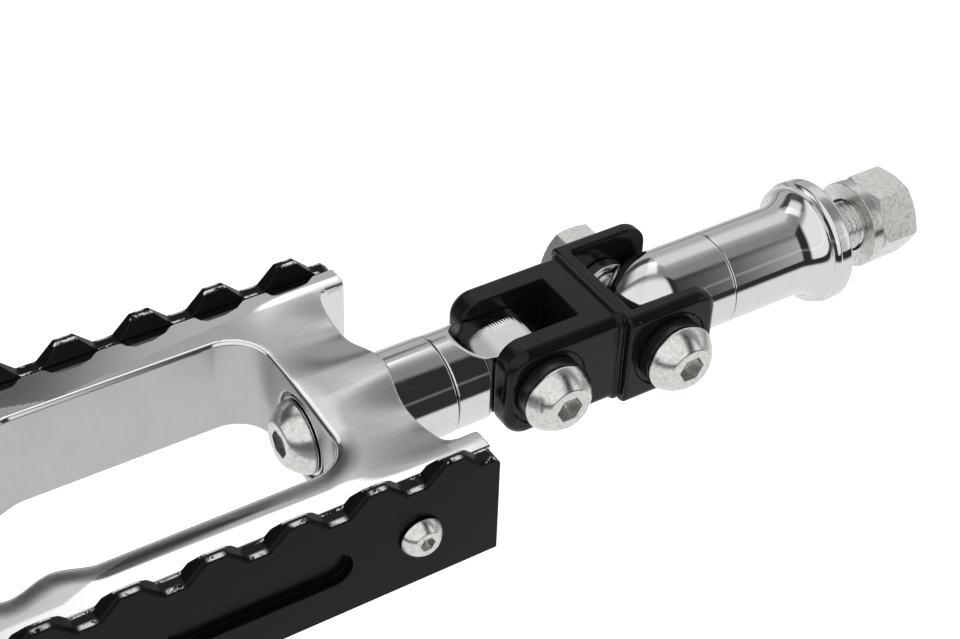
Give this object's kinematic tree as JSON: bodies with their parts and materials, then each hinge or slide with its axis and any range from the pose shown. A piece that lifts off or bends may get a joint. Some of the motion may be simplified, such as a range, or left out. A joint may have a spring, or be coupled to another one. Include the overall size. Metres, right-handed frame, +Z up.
{
  "type": "folding motorcycle foot peg",
  "caption": "Wide open platform foot peg with serrated side rails on a folding double clevis link and a round flanged mount shaft.",
  "frame": {"origin": "centre of the mount collar's flange face, where it seats on the control bracket", "axes": "+X along the peg towards the motorcycle, +Y towards the rear rail, +Z up; the tread teeth point up"},
  "size_m": [0.246, 0.0798, 0.0311],
  "materials": {
    "chrome": "polished chrome with faint haze and fine scratches",
    "platform_satin": "satin plated with polished edges",
    "link_black": "gloss black, chipped bright at the edges",
    "rail_black": "satin black",
    "fastener": "satin plated steel",
    "washer_black": "black oxide"
  },
  "bodies": {
    "mount": {"mount_knuckle": "chrome", "mount_collar": "chrome", "mount_stud": "fastener", "mount_lock_washer": "fastener", "mount_nut": "fastener"},
    "link": {"clevis_link": "link_black", "outer_pivot_bolt": "fastener", "outer_pivot_washer": "washer_black", "inner_pivot_bolt": "fastener", "inner_pivot_washer": "washer_black", "inner_pivot_nut": "fastener", "inner_spacer_front": "fastener", "inner_spacer_rear": "fastener"},
    "adapter": {"pivot_adapter": "chrome"},
    "platform": {"adapter_sleeve": "chrome", "platform_frame": "platform_satin", "peg_bolt_washer": "fastener", "peg_bolt": "fastener", "front_grip_rail": "rail_black", "rear_grip_rail": "rail_black", "front_rail_screw_inner": "fastener", "front_rail_screw_outer": "fastener", "rear_rail_screw_inner": "fastener", "rear_rail_screw_outer": "fastener"}
  },
  "joints": [
    {"name": "link_tilt", "type": "hinge", "parent": "mount", "child": "link", "pos_m": [-0.054, 0, 0], "axis": [0, 1, 0], "range_deg": [-30, 30]},
    {"name": "peg_fold", "type": "hinge", "parent": "link", "child": "adapter", "pos_m": [-0.0845, 0, 0], "axis": [0, 1, 0], "range_deg": [0, 90]},
    {"name": "platform_turn", "type": "hinge", "parent": "adapter", "child": "platform", "pos_m": [-0.1057, 0, 0], "axis": [1, 0, 0], "range_deg": [-45, 45]}
  ]
}
